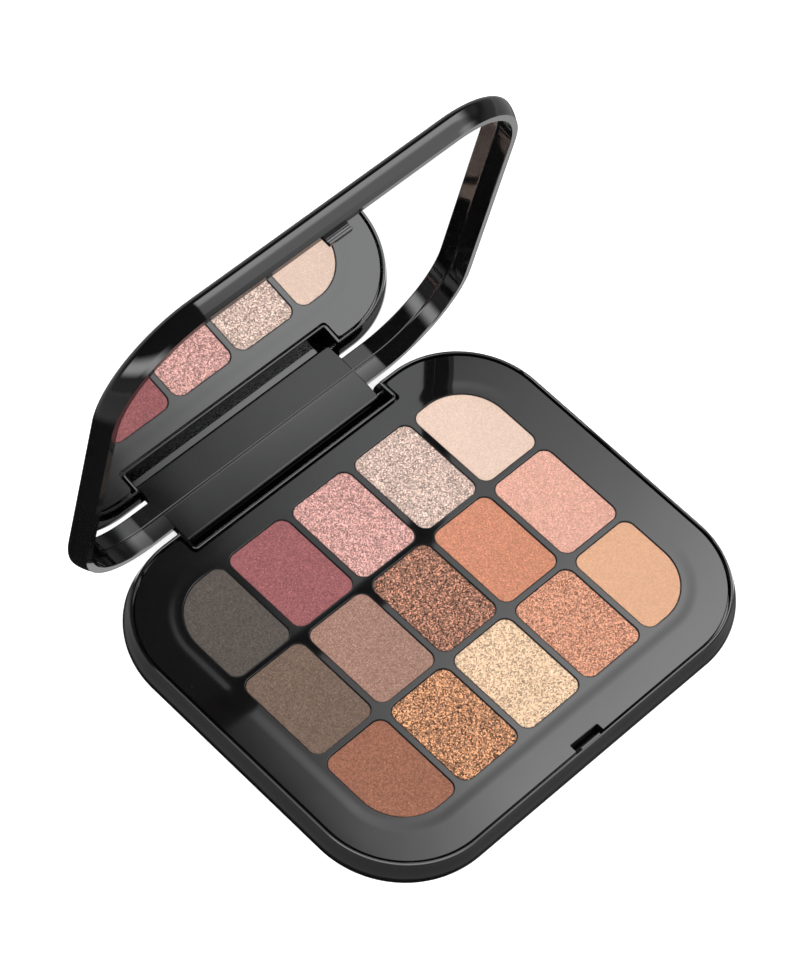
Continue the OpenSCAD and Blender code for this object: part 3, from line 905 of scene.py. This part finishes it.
softbox = {
    "place": (-0.8, -0.7, 1.5),
    "target": (0, 0, 0),
    "sides": (1.6, 1.6),  # metres
    "power": 10,          # watts
}
lamp = bpy.data.lights.new("fillSoftbox", "AREA")
lamp.shape = "RECTANGLE"
lamp.size, lamp.size_y = softbox["sides"]
lamp.energy = softbox["power"]
box = bpy.data.objects.new("fillSoftbox", lamp)
box.location = softbox["place"]
aimed = Vector(softbox["target"]) - Vector(softbox["place"])
box.rotation_euler = aimed.to_track_quat("-Z", "Y").to_euler()
box.visible_glossy = False
bpy.context.scene.collection.objects.link(box)

brightness = {
    "panel": 4.8,       # a wide panel overhead to the right, with soft sides
    "strips": 5.0,      # a strip light round the front and left, which draws lines along edges
    "horizon": 0.3,     # the walls, low down
    "ceiling": 0.05,    # and high up
    "table": 1.15,      # the table beside the palette, as the mirror sees it
    "farTable": 0.45,   # and farther off
}

# what gloss and the mirror see round the palette. Each light of the room is a product of factors, and each
# factor is a sum of fades, which go from one level to another along one direction:
# direction, curve, where it starts, where it ends, the two levels
soft, straight = "SMOOTHSTEP", "LINEAR"
roomLights = {
    "panel": (
        (("slant", soft, 0.3795, 0.3825, 0, 0.5), ("slant", soft, 0.3825, 0.43, 0, 0.5)),
        (("Y", straight, 0.258, 0.298, 0.45, 0), ("Y", straight, 0.29, 0.385, 0.55, 0)),
        (("X", soft, 0.62, 0.82, 1, 0.05),),
        (("Y", soft, -0.36, -0.2, 0.42, 1),),
        (("Y", soft, -0.68, -0.58, 0, 1),),
        (("Z", soft, 0.3, 0.45, 0, brightness["panel"]),),
    ),
    "strips": (
        (("Z", soft, 0.2, 0.4, 0, brightness["strips"]),),
        (("Z", soft, 0.45, 0.66, 1, 0),),
        (("around", soft, -0.4, 0.05, 1, 0),),
    ),
    "walls": (
        (("Z", soft, 0.1, 0.4, brightness["horizon"], brightness["ceiling"]),),
        (("Z", soft, -0.2, 0, 0.05, 1),),
    ),
    "farTable": (
        (("Z", soft, -0.75, -0.55, 0, brightness["farTable"]),),
        (("Z", soft, -0.12, -0.02, 1, 0),),
    ),
    "table": (
        (("X", soft, 0.2, 0.3, 0, brightness["table"]),),
        (("Y", soft, -0.26, -0.2, 0, 1),),
        (("Z", soft, -0.75, -0.7, 1, 0),),
    ),
}
# tilted directions: this much of one added to another
tilted = {"slant": (0.03, "Y", "X"), "around": (0.55, "X", "Y")}

world = bpy.data.worlds.new("studioRoom")
world.use_nodes = True
room = world.node_tree
room.nodes.clear()
where = addNode(room, "ShaderNodeTexCoord")
parts = addNode(room, "ShaderNodeSeparateXYZ", links={"Vector": (where, "Generated")})
directions = {axis: (parts, axis) for axis in "XYZ"}
for name, (share, added, to) in tilted.items():
    made = addNode(room, "ShaderNodeMath", {1: share}, {0: (parts, added), 2: (parts, to)},
                   operation="MULTIPLY_ADD")
    directions[name] = (made, "Value")
glow = addNode(room, "ShaderNodeMath", {0: 0, 1: 0}, operation="ADD")
for factors in roomLights.values():
    light = addNode(room, "ShaderNodeMath", {0: 1, 1: 1}, operation="MULTIPLY")
    for fades in factors:
        factor = addNode(room, "ShaderNodeMath", {0: 0, 1: 0}, operation="ADD")
        for direction, curve, start, end, first, last in fades:
            fade = addNode(room, "ShaderNodeMapRange",
                           {"From Min": start, "From Max": end, "To Min": first, "To Max": last},
                           {"Value": directions[direction]}, interpolation_type=curve)
            factor = addNode(room, "ShaderNodeMath", links={0: (factor, "Value"), 1: (fade, "Result")},
                             operation="ADD")
        light = addNode(room, "ShaderNodeMath", links={0: (light, "Value"), 1: (factor, "Value")},
                        operation="MULTIPLY")
    glow = addNode(room, "ShaderNodeMath", links={0: (glow, "Value"), 1: (light, "Value")}, operation="ADD")
sky = addNode(room, "ShaderNodeBackground", {"Color": (1, 1, 1, 1)}, {"Strength": (glow, "Value")})
addNode(room, "ShaderNodeOutputWorld", links={"Surface": (sky, "Background")})
bpy.context.scene.world = world
bpy.context.scene.view_settings.view_transform = "Standard"

view = {
    "place": (-0.39697, -0.29130, 0.79679),
    "target": (0.01595, 0.02827, 0.0098),
    "lens": 139.5,    # mm
    "sensor": 36,     # mm
    "roll": 9.318,    # the camera leans to the left by this many degrees
    "nearest": 0.01,  # metres; nothing closer is drawn
}
cameraData = bpy.data.cameras.new("studioCamera")
cameraData.lens = view["lens"]
cameraData.sensor_width = view["sensor"]
cameraData.clip_start = view["nearest"]
camera = bpy.data.objects.new("studioCamera", cameraData)
camera.location = view["place"]
upright = (Vector(view["target"]) - Vector(view["place"])).to_track_quat("-Z", "Y")
camera.rotation_mode = "QUATERNION"
camera.rotation_quaternion = upright @ Quaternion((0, 0, 1), math.radians(view["roll"]))
bpy.context.scene.collection.objects.link(camera)
bpy.context.scene.camera = camera
print("studio ready")
